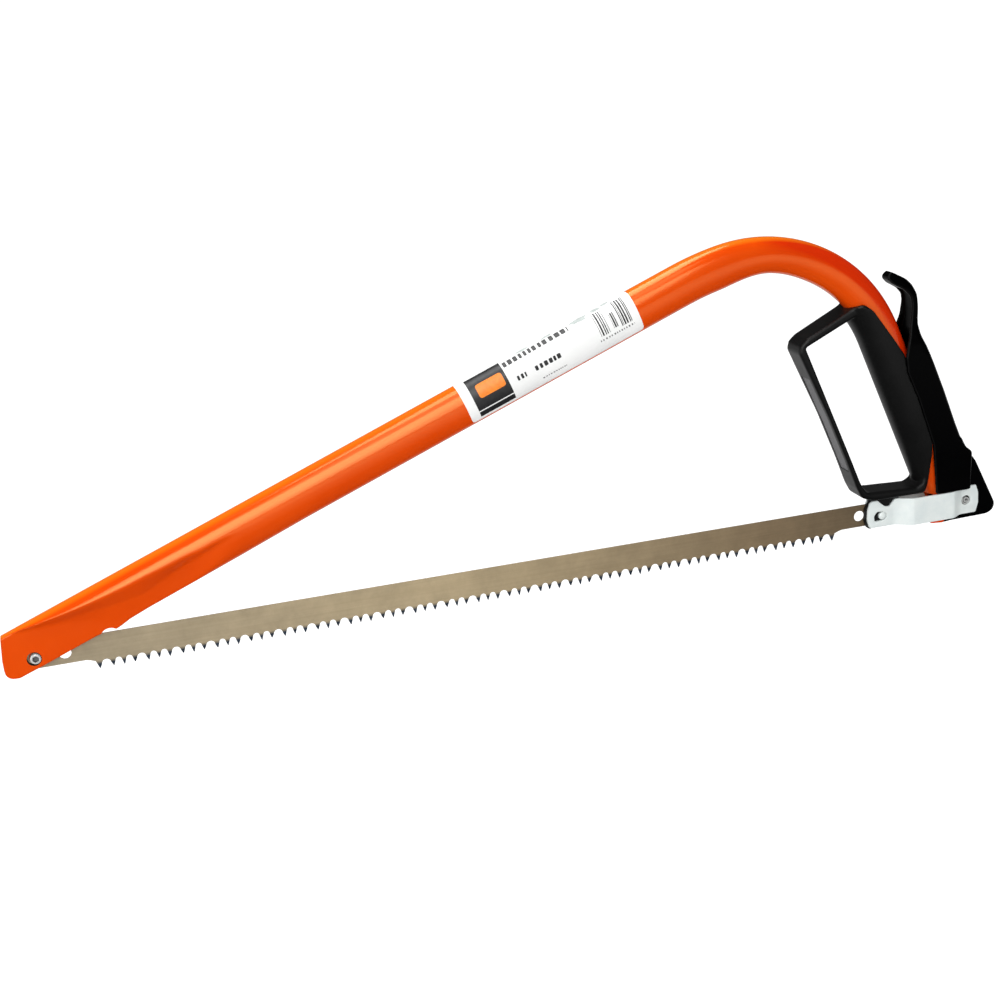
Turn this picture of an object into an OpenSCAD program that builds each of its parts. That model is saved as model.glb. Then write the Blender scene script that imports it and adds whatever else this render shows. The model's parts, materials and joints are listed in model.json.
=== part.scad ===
// Bow saw: oval steel tube frame, peg-tooth blade and over-centre tension lever.
// Origin: centre of the open spare hole at the heel end of the blade, in the blade's middle plane.
// +X from toe to heel, +Y across the bow, +Z up. Millimetres.
// Outlines below are drawn from the toe pivot; placed() moves each part to the origin.

/* [Blade] */
// Distance between the two blade pivots
blade_span = 530; // [526:1:532]
// Blade plate thickness
blade_t = 0.7; // [0.5:0.1:0.9]
// Length of each tooth below the gullet bottom
tooth_drop = 4.9; // [4:0.1:5.5]
// Spacing of neighbouring teeth inside a group of three
tooth_pitch = 6.0; // [5.8:0.1:6.2]
// Diameter of the two open spare holes in the blade
spare_hole_d = 7.1; // [6.8:0.02:7.2]

/* [Frame tube] */
// Tube size measured in the plane of the bow
tube_h = 25.6; // [24:0.1:26.4]
// Tube size across the bow
tube_w = 18.6; // [17.8:0.1:19]
// Tube wall thickness
tube_wall = 1.2; // [1:0.1:1.6]
// Upward slope of the long straight run in degrees
run_slope = 21.6; // [21.6]
// Tube size in the plane of the bow once it is bent, slightly flattened
bent_h = 22.4; // [22:0.1:23]
// Half thickness of the flattened toe
toe_half = 3.2; // [3:0.1:3.6]

/* [Knuckle guard] */
// Depth of the guard strip across the bow
guard_depth = 19; // [16:0.5:20]
// Thickness of the plastic shell over the handle tube
grip_wall = 2.9; // [2:0.1:3.2]

/* [Tension lever] */
// Outer width of the lever channel
lever_w = 25.6; // [24.6:0.1:26.4]
// Wall thickness of each lever cheek
cheek_t = 2.4; // [1.8:0.1:2.6]
// Width of the lever tongue between the link plates
tongue_w = 11.6; // [10.6:0.1:11.8]

/* [Link plates] */
// Link plate sheet thickness
plate_t = 1.5; // [1.2:0.1:1.6]
// Diameter of the fixed pin the lever turns on
fulcrum_d = 4.6; // [4.2:0.1:4.8]
// Diameter of the coiled pin through lever and plates
lever_pin_d = 6.4; // [6:0.1:6.6]
// Diameter of the pin that carries the heel end of the blade
blade_pin_d = 5.0; // [4.8:0.1:5.1]
// Radial running clearance of every hinge pin
run_gap = 0.05; // [0.02:0.01:0.08]

/* [Output] */
// Node to show

/* [Hidden] */
$fn = 48;

// Linkage pivots in the bow plane, as [x, z]
heel = [blade_span, 0];
fulcrum = [blade_span + 44, -3];
crank = [blade_span + 59.5, 2];
heel_hole = [blade_span + 0.75, -0.62];
heel_hole_d = 7.4;
spare_hole = [blade_span - 14.1, 0.46];

// Bow centreline: straight run, one bend, straight handle leg
leg_tilt = 22.6;
bend_c = [443.2, 84];
outer_r = 104.7;
bend_r = outer_r - bent_h / 2;
ease_r = 181;
ease_slope = 12.44;
ease_c = bend_c - (ease_r - outer_r + tube_h / 2) * [-sin(ease_slope), cos(ease_slope)];
run_end = ease_c + ease_r * [-sin(run_slope), cos(run_slope)];
run_len = 466;
leg_start = bend_c + bend_r * [cos(leg_tilt), sin(leg_tilt)];
leg_len = 150;
lap = 1.2;
hair = 0.15;
tube_foot_z = -10.2;
tube_rear_x = blade_span + 48.3;

// Flattened toe, measured along the run back from the bend
flat_from = 295;
flat_to = 380;
slot_half = 0.6;
slot_top = 11.4;
slot_end_x = 44;

// Toe fastener
toe_barrel_d = 7.2;
toe_hole_d = 8.6;
toe_thread_d = 5.0;

// Blade outline
back_z = 7.84;
end_z = -6.9;
gullet_z = -8.2;
tip_z = gullet_z - tooth_drop;
group_pitch = 19.783;
first_group = 47.57;
group_n = 23;
group_gap = group_pitch - 2 * tooth_pitch;

// Guard
grip_front = grip_wall + 1.2;
guard_foot_z = 12.2;

// Lever
lever_half = lever_w / 2;
channel_half = lever_half - cheek_t;
tongue_half = tongue_w / 2;

// Plates
wide_in = 10.5;
narrow_in = 6.0;
heel_in = 4.0;

steel = [0.75, 0.77, 0.8];
orange = [0.87, 0.31, 0.06];
black = [0.07, 0.07, 0.08];

// From the toe pivot to the part's origin
module placed() {
  translate([-spare_hole.x, 0, -spare_hole.y]) children();
}

// Plate of a bow-plane outline, centred on the blade plane
module side(t) {
  rotate([90, 0, 0]) linear_extrude(t, center = true) children();
}

// Cylinder across the bow between two y values
module cross_pin(p, d, y0, y1) {
  translate([p.x, y0, p.y]) rotate([-90, 0, 0]) cylinder(h = y1 - y0, d = d);
}

// Plan outline, drawn as [x, y], raised between two heights
module plan(z0, z1) {
  translate([0, 0, z0]) linear_extrude(z1 - z0) children();
}

// Front outline, drawn as [y, z], swept along x
module front(x0, x1) {
  translate([x0, 0, 0]) rotate([90, 0, 90]) linear_extrude(x1 - x0) children();
}

// Flat-sided oval, h in the bow plane and w across it
module oval(h, w) {
  for (s = [-1, 1]) {
    translate([s * (h - w) / 2, 0]) circle(d = w);
  }
  square([h - w, w], center = true);
}

// Frames on the centreline, local z pointing away from the bend
module on_run() {
  translate([run_end.x, 0, run_end.y]) rotate([0, -90 - run_slope, 0]) children();
}

module on_leg() {
  translate([leg_start.x, 0, leg_start.y]) rotate([0, 180 - leg_tilt, 0]) children();
}

// Swept arc in the bow plane, anticlockwise from an angle above +X
module on_arc(c, r, from, to) {
  translate([c.x, 0, c.y]) rotate([90, 0, 0]) rotate([0, 0, from])
    rotate_extrude(angle = to - from, $fn = 80) translate([r, 0]) children();
}

// Plan wedge that presses the toe flat, as [y, z] in the run frame
module press(half, grow) {
  full = tube_w / 2 + grow;
  mid = half + (full - half) * 0.62;
  rotate([90, 0, 90]) linear_extrude(80, center = true) polygon([
    [-full, -2], [full, -2], [full, flat_from], [mid, flat_from + 38], [half, flat_to],
    [half, run_len + 1], [-half, run_len + 1], [-half, flat_to], [-mid, flat_from + 38],
    [-full, flat_from]]);
}

module run_solid(h, w, half, grow) {
  on_run() intersection() {
    translate([0, 0, -lap]) linear_extrude(run_len + lap) oval(h, w);
    press(half, grow);
  }
}

// Whole bow, shrunk all round by t; each arc is a hair larger, so its neighbour ends inside it
module bow(t, half, grow) {
  w = tube_w - 2 * t;
  run_solid(tube_h - 2 * t, w, half, grow);
  on_arc(ease_c, ease_r, 90 + ease_slope + 0.9 * t, 90 + run_slope)
    oval(tube_h - 2 * t + 2 * hair, w + 2 * hair);
  on_arc(bend_c, bend_r, leg_tilt, 91 + ease_slope + 2.6 * t)
    oval(bent_h - 2 * t + hair, w + hair);
  on_leg() translate([0, 0, -lap]) linear_extrude(leg_len + lap) oval(bent_h - 2 * t, w);
}

// ---- frame tube ----
module toe_trim() {
  side(60) polygon([[-80, 60], [-16.4, 60], [-16.4, 19.6], [-17.4, 12], [-18.6, 4], [-19.2, -2.4],
    [-18.4, -5.6], [-16.2, -8], [-13, -9.6], [-9, -10.4], [-3.2, -11], [0, -60], [-80, -60]]);
}

// Flattening spreads the tube downward into a lip
module toe_lip() {
  side(2 * toe_half - 0.1) polygon([[-20, 2], [-20, -9], [-9, -10.4], [-4.2, -9.6], [13.8, -2.8], [33.4, 5.6],
    [44, 10.6], [62, 18.8], [60, 24], [40, 22], [0, 8]]);
}

module foot_trim() {
  side(60) polygon([[tube_rear_x, 15], [tube_rear_x, -60], [tube_rear_x + 60, -60],
    [tube_rear_x + 60, 21], [tube_rear_x + 6, 21]]);
  side(60) polygon([[500, tube_foot_z], [573, tube_foot_z], [tube_rear_x + 0.1, -3.4], [660, -3.4],
    [660, -70], [500, -70]]);
}

// Fork for the lever tongue
module foot_slot() {
  side(12.4) polygon([[560, 9.5], [tube_rear_x + 1, 9.5], [tube_rear_x + 1, -14], [560, -14]]);
}

module blade_slot() {
  side(2 * slot_half) polygon([[-40, -30], [slot_end_x, -30], [slot_end_x, slot_top],
    [-40, slot_top]]);
  cross_pin([slot_end_x, slot_top - 5.2], 10.4, -20, 20);
}

module frame_tube() {
  color(orange) placed() difference() {
    union() {
      bow(0, toe_half, 1);
      toe_lip();
    }
    bow(tube_wall, slot_half, 1 - tube_wall);
    toe_trim();
    foot_trim();
    foot_slot();
    blade_slot();
    cross_pin([0, 0], toe_hole_d, -20, 0);
    cross_pin([0, 0], toe_thread_d + 0.2, -1, 20);
    cross_pin(fulcrum, fulcrum_d, -20, 20);
    screw_seats() cylinder(h = 14, d = 2.9, center = true);
  }
}

// ---- toe fastener ----
module hex_prism(af, h) {
  cylinder(h = h, d = af / cos(30), $fn = 6);
}

module toe_screw() {
  color(steel) placed() difference() {
    union() {
      cross_pin([0, 0], toe_barrel_d, -3.9, 0.45);
      cross_pin([0, 0], toe_thread_d, 0.4, 8.6);
    }
    translate([0, -4, 0]) rotate([-90, 0, 0]) hex_prism(3, 2.2);
  }
}

module toe_washer() {
  color(steel) placed() difference() {
    cross_pin([0, 0], 10, toe_half, toe_half + 0.9);
    cross_pin([0, 0], toe_thread_d + 0.3, 0, 10);
  }
}

module toe_nut() {
  color(steel) placed() difference() {
    translate([0, toe_half + 0.9, 0]) rotate([-90, 0, 0]) hex_prism(8, 4);
    cross_pin([0, 0], toe_thread_d, 0, 10);
  }
}

// ---- printed label round the near flank ----
module wrap_band(from, to, t0, t1) {
  on_run() translate([0, 0, from]) intersection() {
    linear_extrude(to - from) difference() {
      oval(tube_h + 2 * t1, tube_w + 2 * t1);
      oval(tube_h + 2 * t0, tube_w + 2 * t0);
    }
    translate([-8, -30, -1]) cube([30, 32, to - from + 2]);
  }
}

module frame_label() {
  color([0.93, 0.93, 0.92]) placed() wrap_band(35, 144, 0.01, 0.16);
}

module label_code_patch() {
  color([0.1, 0.1, 0.1]) placed() wrap_band(121, 142, 0.16, 0.26);
}

// ---- blade ----
module gullet(x, wide, r) {
  translate([x, gullet_z - r]) circle(r = r, $fn = 32);
  polygon([[x - r, gullet_z - r], [x + r, gullet_z - r], [x + wide, tip_z - 1], [x - wide, tip_z - 1]]);
}

module blade_outline() {
  x_first = first_group - tooth_pitch - group_gap;
  x_last = first_group + group_n * group_pitch - tooth_pitch;
  end_r = (back_z - end_z) / 2;
  heel_end = [for (a = [90 : -15 : -90])
    [blade_span + end_r * cos(a), back_z - end_r + end_r * sin(a)]];
  difference() {
    union() {
      polygon([[-15, back_z], each heel_end, [x_last + 7, end_z],
        [x_last + 4.6, gullet_z + 0.6], [x_last + 2.2, gullet_z], [x_last + 0.5, tip_z],
        [x_first - 0.5, tip_z], [x_first - 2.2, gullet_z], [x_first - 4.6, gullet_z + 0.6],
        [x_first - 7, end_z], [-12, end_z], [-16, end_z + 4],
        [-16, back_z - 1]]);
    }
    gullet(first_group - group_pitch / 2, group_gap / 2 - 0.4, 2.6);
    for (i = [0 : group_n - 1]) {
      x = first_group + i * group_pitch;
      gullet(x - tooth_pitch / 2, tooth_pitch / 2 - 0.4, 1.85);
      gullet(x + tooth_pitch / 2, tooth_pitch / 2 - 0.4, 1.85);
      gullet(x + group_pitch / 2, group_gap / 2 - 0.4, 2.6);
    }
  }
}

module saw_blade() {
  color([0.55, 0.52, 0.46]) placed() difference() {
    side(blade_t) blade_outline();
    cross_pin([0, 0], toe_barrel_d + 2 * run_gap, -5, 5);
    cross_pin(heel_hole, heel_hole_d, -5, 5);
    cross_pin([16, -0.4], spare_hole_d, -5, 5);
    cross_pin(spare_hole, spare_hole_d, -5, 5);
  }
}

// ---- knuckle guard and grip shell ----
module guard_loop() {
  difference() {
    polygon([[505, 139.6], [474.9, 124.4], [471.4, 121.6], [469.8, 118.4], [470.6, 114.6],
      [491, 70], [502.4, 42], [509.8, 22.6], [511.9, 18.6], [515.2, 15.2], [519.4, 13.2], [524, guard_foot_z + 0.6],
      [530, guard_foot_z], [562, guard_foot_z], [564, 16], [538, 70], [520, 112]]);
    polygon([[509, 134.8], [478, 120.6], [475, 118.2], [474.8, 115.2], [494.6, 69.8], [506, 42], [513, 25], [514.8, 21],
      [518.2, 18.6], [522, 17.6], [552, 16.6], [557, 19], [557, 24], [540, 64], [523, 104], [512, 132]]);
  }
}

module grip_zone() {
  polygon([[495, 148], [505, 141.6], [512, 141], [519, 137], [540.2, 106.4], [540.6, 103.7], [541.6, 95.2],
    [547, 82.9], [549.6, 77.2], [561.2, 44.8], [562.6, 24], [561.4, 16.6], [557, 13], [552, guard_foot_z], [530, guard_foot_z],
    [490, 120]]);
}

module grip_shell() {
  intersection() {
    union() {
      on_leg() linear_extrude(leg_len) oval(bent_h + 2 * grip_front, tube_w + 2 * grip_wall);
      on_arc(bend_c, bend_r, leg_tilt - 1, leg_tilt + 26) oval(bent_h + 2.02 * grip_front, tube_w + 2.02 * grip_wall);
    }
    side(60) grip_zone();
  }
}

module knuckle_guard() {
  color(black) placed() difference() {
    union() {
      side(guard_depth) guard_loop();
      grip_shell();
    }
    on_leg() linear_extrude(leg_len) oval(bent_h + 0.16, tube_w + 0.16);
    on_arc(bend_c, bend_r, leg_tilt - 1, leg_tilt + 40) oval(bent_h + 0.28, tube_w + 0.28);
    guard_panel();
    screw_seats() cylinder(h = 14, d = 2.6, center = true);
  }
}

// Shallow recess in the outward face of the front bar
module guard_panel() {
  translate([490.6, 0, 70]) rotate([0, 24.4, 0]) cube([1.2, 11, 58], center = true);
}

// ---- grip screws, from inside the tube front wall into the shell ----
module screw_seats() {
  for (s = [38, 92]) {
    on_leg() translate([bent_h / 2, 0, s]) rotate([0, 90, 0]) children();
  }
}

module grip_screws() {
  color(steel) placed() for (s = [38, 92]) {
    on_leg() translate([bent_h / 2 - tube_wall, 0, s]) rotate([0, 90, 0]) {
      translate([0, 0, -0.5]) cylinder(h = 3.7, d = 2.6);
      difference() {
        translate([0, 0, -2.1]) cylinder(h = 1.7, d = 5);
        translate([0, 0, -2.2]) cube([0.8, 6, 1.6], center = true);
      }
    }
  }
}

// ---- fulcrum ----
module fulcrum_pin() {
  color(steel) placed() cross_pin(fulcrum, fulcrum_d, -9.6, 9.6);
}

// ---- tension lever ----
module lever_outline() {
  polygon([[530.4, 154.2], [531.4, 157], [533.6, 158], [536.6, 156.8], [546, 152.4], [549.8, 148.8],
    [552, 143], [552.6, 134.6], [551.8, 124], [553.4, 117.8], [557.4, 110.6], [562.8, 98.4],
    [570.8, 79.6], [579.2, 57], [584.4, 44], [586.4, 40], [590.6, 36.8], [597.6, 27.4],
    [612.3, -2.7], [612.6, -5.6], [611.6, -8], [609.6, -9.8], [606.5, -10.8], [579, -11.4],
    [572.4, -11.8], [569.6, -8.6], [568.8, -3.4], [569.4, 2], [570.8, 7], [571.4, 12.6], [565.4, 12.6],
    [562.1, 45.2], [550.3, 77.8], [547.7, 83.1], [542.2, 95.5], [541.3, 103.7], [542.2, 111],
    [545, 120.1], [546.6, 133], [545.6, 140.6], [543, 144.6], [534, 150.4]]);
}

module lever_cavity() {
  polygon([[536, 128], [548.8, 128], [548.8, 121.6], [550, 115.2], [554, 108], [559.6, 96],
    [567.4, 77.4], [575.8, 55], [580.6, 42], [583, 37.6], [587, 34], [588, 28], [586, 20],
    [583, 12.2], [560, 12.2], [555, 40], [536, 90]]);
}

module lever_widths() {
  polygon([[-4.8, 170], [4.8, 170], [6.6, 148], [7.6, 124], [lever_half, 104], [lever_half, 40],
    [lever_half - 0.6, 20], [lever_half - 0.6, 12.6], [tongue_half, 12.6], [tongue_half, -20],
    [-tongue_half, -20], [-tongue_half, 12.6], [0.6 - lever_half, 12.6], [0.6 - lever_half, 20],
    [-lever_half, 40], [-lever_half, 104], [-7.6, 124], [-6.6, 148]]);
}

module lever_shoulder() {
  plan(-30, 180) polygon([[500, -20], [584, -20], [588, 0.4 - lever_half], [592, -tongue_half],
    [640, -tongue_half], [640, tongue_half], [592, tongue_half], [588, lever_half - 0.4], [584, 20],
    [500, 20]]);
}

module tension_lever() {
  color(black) placed() difference() {
    intersection() {
      side(40) lever_outline();
      front(480, 660) lever_widths();
      lever_shoulder();
    }
    side(2 * channel_half) lever_cavity();
    side(10) polygon([[540, 116], [549, 116], [548.8, 124], [549.8, 134], [549.2, 140.6],
      [546.4, 144.8], [540, 147], [538, 130]]);
    cross_pin(fulcrum, fulcrum_d + 2 * run_gap, -20, 20);
    cross_pin(crank, lever_pin_d + 2 * run_gap, -20, 20);
    cross_pin(crank, 24.6, -7.8, 0.05 - tongue_half);
    cross_pin(crank, 24.6, tongue_half - 0.05, 7.8);
  }
}

// ---- links ----
module link_outline() {
  polygon([[521, 9.4], [519.7, 5], [519.3, 1], [519.4, -3], [521, -7.3], [597, -7.3],
    [598.6, -2], [598.8, 3], [598, 8], [596.6, 11.4], [584, 11.2], [576, 10.6], [541, 10.6],
    [538.4, 10.6], [535, 5.8], [531.6, 6.2], [527.6, 9.6], [526.6, 10.8], [522.4, 10.8]]);
}

module link_strip(a, b) {
  polygon([[510, a], [537.6, a], [550.4, b], [580, b], [585.4, narrow_in], [605, narrow_in],
    [605, narrow_in + plate_t], [586, narrow_in + plate_t], [580.6, b + plate_t],
    [549.8, b + plate_t], [537, a + plate_t], [510, a + plate_t]]);
}

module link_plate() {
  difference() {
    intersection() {
      plan(-20, 20) link_strip(heel_in, wide_in);
      side(60) link_outline();
    }
    cross_pin(heel, blade_pin_d, -20, 20);
    cross_pin(crank, lever_pin_d, -20, 20);
  }
}

module link_plate_far() {
  color(steel) placed() link_plate();
}

module link_plate_near() {
  color(steel) placed() mirror([0, 1, 0]) link_plate();
}

module heel_spacer() {
  color(black) placed() difference() {
    side(2 * heel_in - 0.02) polygon([[523.4, 11.6], [521.2, 7.8], [520, 5], [519.8, -3], [521.4, -8],
      [541, -8], [545.4, -6], [545.4, 9], [541, 10.2], [536, 11.6]]);
    side(2 * slot_half) union() {
      translate(heel_hole) circle(r = 9.4);
      polygon([[500, -20], [532, -20], [532, 20], [500, 20]]);
    }
    plan(-20, 20) polygon([[510, slot_half - 0.2], [523.4, slot_half - 0.2], [523.4, 5], [510, 5]]);
    plan(-20, 20) polygon([[537.4, 4], [546, 12], [546, 3.2], [539, 3.2]]);
    plan(-20, 20) polygon([[537.4, -4], [546, -12], [546, -3.2], [539, -3.2]]);
    cross_pin(heel, blade_pin_d, -20, 20);
  }
}

module blade_pin() {
  color(steel) placed() {
    cross_pin(heel, blade_pin_d, -heel_in - plate_t - 0.3, heel_in + plate_t + 0.3);
  }
}

module lever_pin() {
  wrap = 0.55;
  color(steel) placed() difference() {
    cross_pin(crank, lever_pin_d, -narrow_in - plate_t - 0.3, narrow_in + plate_t + 0.3);
    cross_pin(crank, lever_pin_d - 4 * wrap, -20, 20);
  }
}

frame_tube();
toe_screw();
toe_washer();
toe_nut();
frame_label();
label_code_patch();
knuckle_guard();
grip_screws();
fulcrum_pin();
saw_blade();
tension_lever();
lever_pin();
link_plate_near();
link_plate_far();
heel_spacer();
blade_pin();
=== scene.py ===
import json
import math
import random

import bmesh
import bpy
import numpy as np
from mathutils import Matrix, Vector


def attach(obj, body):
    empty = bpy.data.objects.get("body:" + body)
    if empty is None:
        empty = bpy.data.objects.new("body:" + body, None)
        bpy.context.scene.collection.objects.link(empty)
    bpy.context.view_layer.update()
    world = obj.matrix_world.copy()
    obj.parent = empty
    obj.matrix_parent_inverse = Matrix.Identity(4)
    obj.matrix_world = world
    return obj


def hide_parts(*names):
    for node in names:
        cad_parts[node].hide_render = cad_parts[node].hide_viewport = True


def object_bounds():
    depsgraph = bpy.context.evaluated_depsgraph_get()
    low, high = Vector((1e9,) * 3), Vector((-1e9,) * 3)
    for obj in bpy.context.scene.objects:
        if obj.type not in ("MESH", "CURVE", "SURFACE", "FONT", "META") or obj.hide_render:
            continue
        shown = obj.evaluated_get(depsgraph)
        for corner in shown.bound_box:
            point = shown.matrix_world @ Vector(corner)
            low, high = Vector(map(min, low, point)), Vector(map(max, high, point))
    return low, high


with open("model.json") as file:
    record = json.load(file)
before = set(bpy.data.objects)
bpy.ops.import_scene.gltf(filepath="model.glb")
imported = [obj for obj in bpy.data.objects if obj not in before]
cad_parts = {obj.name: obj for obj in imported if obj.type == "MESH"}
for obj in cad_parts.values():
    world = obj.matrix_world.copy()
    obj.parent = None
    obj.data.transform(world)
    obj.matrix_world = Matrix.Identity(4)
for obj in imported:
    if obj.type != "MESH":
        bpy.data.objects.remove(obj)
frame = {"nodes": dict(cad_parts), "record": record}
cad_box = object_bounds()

MM = 0.001
# Vertices closer than this many millimetres count as one when a finished mesh is cleaned.
STRAY_DIST = 0.001
scene = bpy.context.scene

# The drawing below is in millimetres from the toe pivot; TOE is that pivot in the shared frame.
JOINT = {j["name"]: Vector(j["pos_m"]) for j in frame["record"]["behaviour"]["joints"]}
TOE = JOINT["blade_swing"]


def from_toe(point):
    return ((point.x - TOE.x) / MM, (point.z - TOE.z) / MM)


# ---- sizes in millimetres, in the bow plane as (x, z) ----
SPAN = 530.0
TUBE_W = 18.6
TUBE_POWER = 2.35  # exponent of the tube's rounded section; 2 would be an ellipse
RUN_H = 25.8
BENT_H = 22.4
CROWN_H = 21.8
RUN_SLOPE = math.radians(21.6)
EASE_SLOPE = math.radians(12.44)
LEG_TILT = math.radians(22.6)
BEND_C = np.array((443.2, 84.0))
OUTER_R = 104.7
RUN_EDGE = 12.8  # from the drawn line of the run out to its upper edge
EASE_R = 181.0 + RUN_EDGE
RUN_LEN = 466.0
LEG_LEN = 150.0
TUBE_WALL = 1.2
FULCRUM = from_toe(JOINT["lever_hinge"])
CRANK = from_toe(JOINT["link_hinge"])
HEEL_HOLE = (530.75, -0.62)
HEEL_HOLE_R = 3.7
TOE_HOLE_R = 3.65
SPARE_HOLES = ((16.0, -0.4), (515.9, 0.46))
SPARE_HOLE_R = 3.55
TOE_HALF = 3.2
PRESSED_TO = 220  # path length from the toe end within which the tube is pressed
SEAT_C = (-0.7, 0.3)
SEAT_R = 4.1
# SEAT_TOUCH also bounds the painted shade on the seat's wall.
SEAT_TOUCH = 4.2  # faces within this radius belong to the seat
PIN_GAP = 0.05
FULCRUM_R = 2.3
CRANK_R = 3.2
HEEL_PIN_R = 2.5
LABEL_FROM = 31.5
LABEL_TO = 147.4
LABEL_LOW = -10.4
# Cutters reach this far to each side: flat ones and round ones.
CUT_HALF = 30
CUT_PIN = 20
# The floor lies this far below the saw, so that the blade and links can swing down freely.
BLADE_SWING_ROOM = 110.0


def unit(angle):
    return np.array((math.cos(angle), math.sin(angle)))


EASE_C = BEND_C - (EASE_R - OUTER_R) * unit(math.pi / 2 + EASE_SLOPE)
RUN_END = EASE_C + (EASE_R - RUN_EDGE) * unit(math.pi / 2 + RUN_SLOPE)
EASE_LEN = EASE_R * (RUN_SLOPE - EASE_SLOPE)
BEND_LEN = OUTER_R * (math.pi / 2 + EASE_SLOPE - LEG_TILT)
TUBE_LEN = RUN_LEN + EASE_LEN + BEND_LEN + LEG_LEN
LEG_FROM = TUBE_LEN - LEG_LEN


# ---- small mesh tools ----
def smooth(t):
    t = min(1.0, max(0.0, t))
    return t * t * (3 - 2 * t)


def mesh_object(name, verts, faces):
    me = bpy.data.meshes.new(name)
    me.from_pydata([tuple(np.asarray(v) * MM) for v in verts], [], faces)
    me.validate()
    ob = bpy.data.objects.new(name, me)
    scene.collection.objects.link(ob)
    return ob


def from_bmesh(name, bm):
    me = bpy.data.meshes.new(name)
    bm.normal_update()
    bm.to_mesh(me)
    bm.free()
    ob = bpy.data.objects.new(name, me)
    scene.collection.objects.link(ob)
    return ob


def in_order(name, bm):
    """As from_bmesh, with points and faces sorted, so that each run gives the same mesh."""
    verts = sorted(bm.verts, key=lambda v: tuple(v.co))
    place = {v: i for i, v in enumerate(verts)}
    faces = []
    for f in bm.faces:
        ids = [place[v] for v in f.verts]
        first = ids.index(min(ids))
        faces.append(tuple(ids[first:] + ids[:first]))
    me = bpy.data.meshes.new(name)
    me.from_pydata([tuple(v.co) for v in verts], [], sorted(faces))
    bm.free()
    ob = bpy.data.objects.new(name, me)
    scene.collection.objects.link(ob)
    return ob


def loft(name, rings):
    """Closed tube through rings of equal length, in millimetres, capped at both ends."""
    n = len(rings[0])
    verts = [p for r in rings for p in r]
    faces = []
    for i in range(len(rings) - 1):
        for j in range(n):
            k = (j + 1) % n
            faces.append((i * n + j, i * n + k, (i + 1) * n + k, (i + 1) * n + j))
    faces.append(tuple(reversed(range(n))))
    faces.append(tuple((len(rings) - 1) * n + j for j in range(n)))
    ob = mesh_object(name, verts, faces)
    fix_normals(ob)
    return ob


def fix_normals(ob):
    """Turn all faces of a closed mesh outward."""
    bm = bmesh.new()
    bm.from_mesh(ob.data)
    bmesh.ops.recalc_face_normals(bm, faces=bm.faces)
    bm.to_mesh(ob.data)
    bm.free()


def fillet(points, radius, steps=5):
    """Polygon with every corner rounded; radius is one number or one per corner."""
    n = len(points)
    radii = radius if isinstance(radius, (list, tuple)) else [radius] * n
    out = []
    for i in range(n):
        p = np.array(points[i], float)
        a = np.array(points[i - 1], float) - p
        b = np.array(points[(i + 1) % n], float) - p
        la, lb = np.linalg.norm(a), np.linalg.norm(b)
        a, b = a / la, b / lb
        half = math.acos(max(-1.0, min(1.0, float(a @ b)))) / 2
        cut = min(radii[i] / max(math.tan(half), 1e-6), 0.48 * la, 0.48 * lb)
        if cut < 0.05 or half > 1.5:
            out.append(p)
            continue
        for k in range(steps + 1):
            t = k / steps
            q0, q1 = p + a * cut * (1 - t), p + b * cut * t
            out.append(q0 * (1 - t) + q1 * t)
    return [tuple(q) for q in out]


def disc(centre, radius, steps=40):
    return [(centre[0] + radius * math.cos(2 * math.pi * k / steps),
             centre[1] + radius * math.sin(2 * math.pi * k / steps)) for k in range(steps)]


def sheet(name, loops, half, bevel=0.0, res=2):
    """Flat plate from closed (x, z) loops, holes included, centred on y = 0."""
    cu = bpy.data.curves.new(name, "CURVE")
    cu.dimensions = "2D"
    cu.fill_mode = "BOTH"
    for loop in loops:
        sp = cu.splines.new("POLY")
        sp.points.add(len(loop) - 1)
        for p, q in zip(sp.points, loop):
            p.co = (q[0] * MM, q[1] * MM, 0, 1)
        sp.use_cyclic_u = True
    cu.extrude = (half - bevel) * MM
    cu.bevel_depth = bevel * MM
    cu.bevel_resolution = res
    cu.offset = -bevel * MM
    tmp = bpy.data.objects.new(name + "_curve", cu)
    scene.collection.objects.link(tmp)
    ob = baked(tmp, name)
    bpy.data.objects.remove(tmp)
    ob.data.transform(Matrix.Rotation(math.radians(90), 4, "X"))
    weld(ob, 0.0005)
    return ob


def weld(ob, dist):
    bm = bmesh.new()
    bm.from_mesh(ob.data)
    bmesh.ops.remove_doubles(bm, verts=bm.verts, dist=dist * MM)
    bmesh.ops.recalc_face_normals(bm, faces=bm.faces)
    bm.to_mesh(ob.data)
    bm.free()


def baked(ob, name):
    """New mesh object holding what ob shows with its modifiers."""
    bpy.context.view_layer.update()
    dg = bpy.context.evaluated_depsgraph_get()
    me = bpy.data.meshes.new_from_object(ob.evaluated_get(dg), depsgraph=dg)
    me.name = name
    out = bpy.data.objects.new(name, me)
    scene.collection.objects.link(out)
    return out


def apply_all(ob):
    """Put the result of its modifiers into ob itself."""
    done = baked(ob, ob.name + "_done")
    me = done.data
    bpy.data.objects.remove(done)
    ob.modifiers.clear()
    old = ob.data
    ob.data = me
    bpy.data.meshes.remove(old)


def boolean(ob, cutter, how="DIFFERENCE"):
    m = ob.modifiers.new("cut", "BOOLEAN")
    m.operation = how
    m.object = cutter
    m.solver = "EXACT"
    apply_all(ob)
    bpy.data.objects.remove(cutter)
    return ob


def join(name, *parts):
    """One object from several; the parts are used up."""
    bm = bmesh.new()
    for p in parts:
        bm.from_mesh(p.data)
        bpy.data.objects.remove(p)
    return from_bmesh(name, bm)


def remesh(ob, size, rounds=6, factor=0.5):
    """One even skin over overlapping parts, with its edges softened."""
    m = ob.modifiers.new("skin", "REMESH")
    m.mode = "VOXEL"
    m.voxel_size = size * MM
    s = ob.modifiers.new("soft", "SMOOTH")
    s.factor = factor
    s.iterations = rounds
    apply_all(ob)


def shade(ob, angle=32):
    for p in ob.data.polygons:
        p.use_smooth = True
    ob.data.set_sharp_from_angle(angle=math.radians(angle))


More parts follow.
